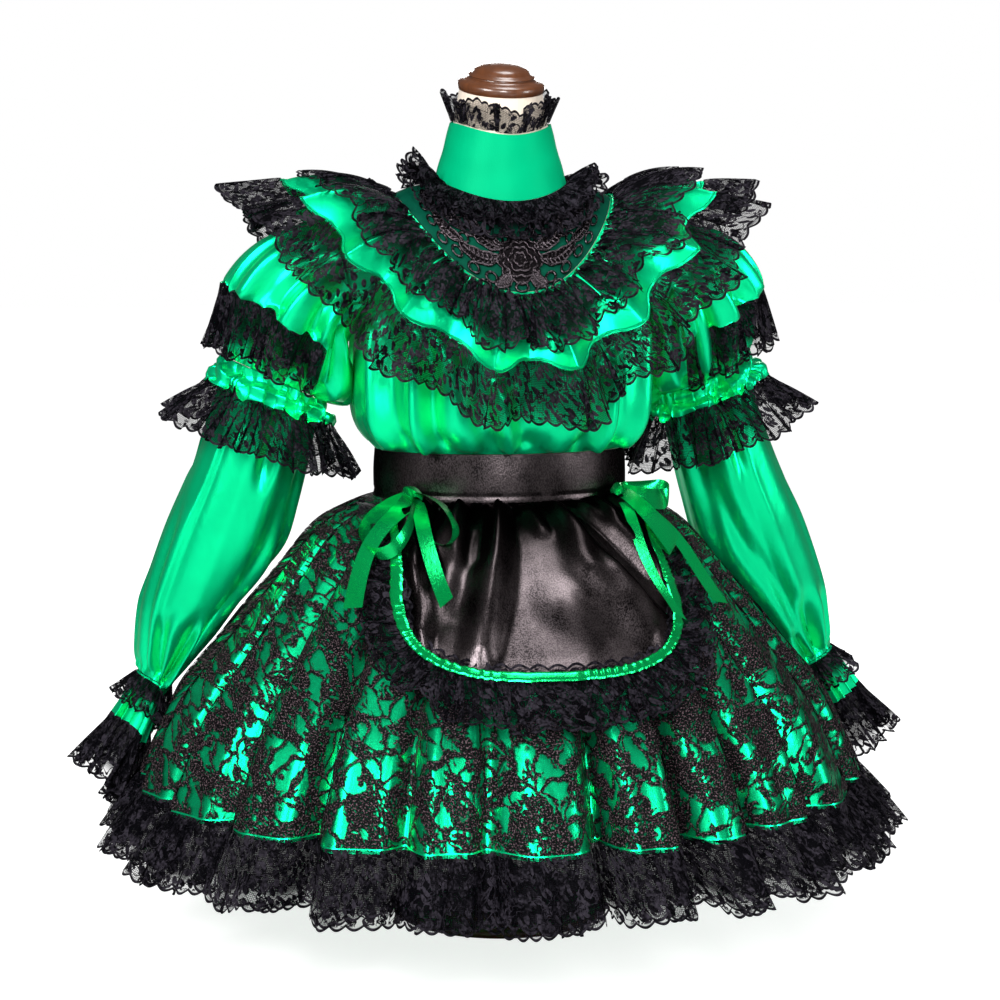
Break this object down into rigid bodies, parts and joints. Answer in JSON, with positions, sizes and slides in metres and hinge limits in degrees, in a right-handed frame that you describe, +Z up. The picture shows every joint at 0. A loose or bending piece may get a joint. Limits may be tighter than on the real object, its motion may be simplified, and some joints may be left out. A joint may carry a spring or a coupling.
{
  "type": "maid costume dress on a dress form",
  "caption": "Short maid costume dress in green satin and black lace with an apron, long puffed sleeves and a full skirt, standing on a limbless dress form with a short turned stand.",
  "frame": {"origin": "middle of the stand's flat underside, on the floor", "axes": "+Z up, the dress faces -Y, +X is the dress's own left"},
  "size_m": [1.245, 1.0839, 1.1973],
  "materials": {
    "green_satin": "glossy satin",
    "black_satin": "glossy satin",
    "black_lace": "open flowered lace",
    "green_ribbon": "glossy satin ribbon",
    "form_linen": "plain weave over foam",
    "turned_wood": "dark polished"
  },
  "bodies": {
    "root": {"applique": "black_lace", "apron": "black_satin", "apron_lace": "black_lace", "apron_ribbon": "green_ribbon", "back_button_1": "green_satin", "back_button_2": "green_satin", "back_button_3": "green_satin", "back_button_4": "green_satin", "bertha_flounce": "green_satin", "bertha_hem_lace": "black_lace", "bertha_top_lace": "black_lace", "bodice_back_left": "green_satin", "bodice_back_right": "green_satin", "bodice_front": "green_satin", "bow_left": "green_ribbon", "bow_right": "green_ribbon", "cap_flounce_left": "green_satin", "cap_flounce_right": "green_satin", "cap_lace_left": "black_lace", "cap_lace_right": "black_lace", "collar": "green_satin", "collar_frill": "black_lace", "cuff_frill_left": "green_satin", "cuff_frill_right": "green_satin", "cuff_lace_left": "black_lace", "cuff_lace_right": "black_lace", "elbow_frill_left": "green_satin", "elbow_frill_right": "green_satin", "elbow_lace_left": "black_lace", "elbow_lace_right": "black_lace", "form_torso": "form_linen", "hem_lace_back": "black_lace", "hem_lace_front": "black_lace", "neck_cap": "turned_wood", "neck_frill": "black_lace", "skirt_back": "green_satin", "skirt_front": "green_satin", "sleeve_lower_left": "green_satin", "sleeve_lower_right": "green_satin", "sleeve_upper_left": "green_satin", "sleeve_upper_right": "green_satin", "stand_base": "turned_wood", "stand_pole": "turned_wood", "waistband": "black_satin", "wrist_lace_left": "black_lace", "wrist_lace_right": "black_lace", "yoke": "green_satin"}
  },
  "joints": []
}
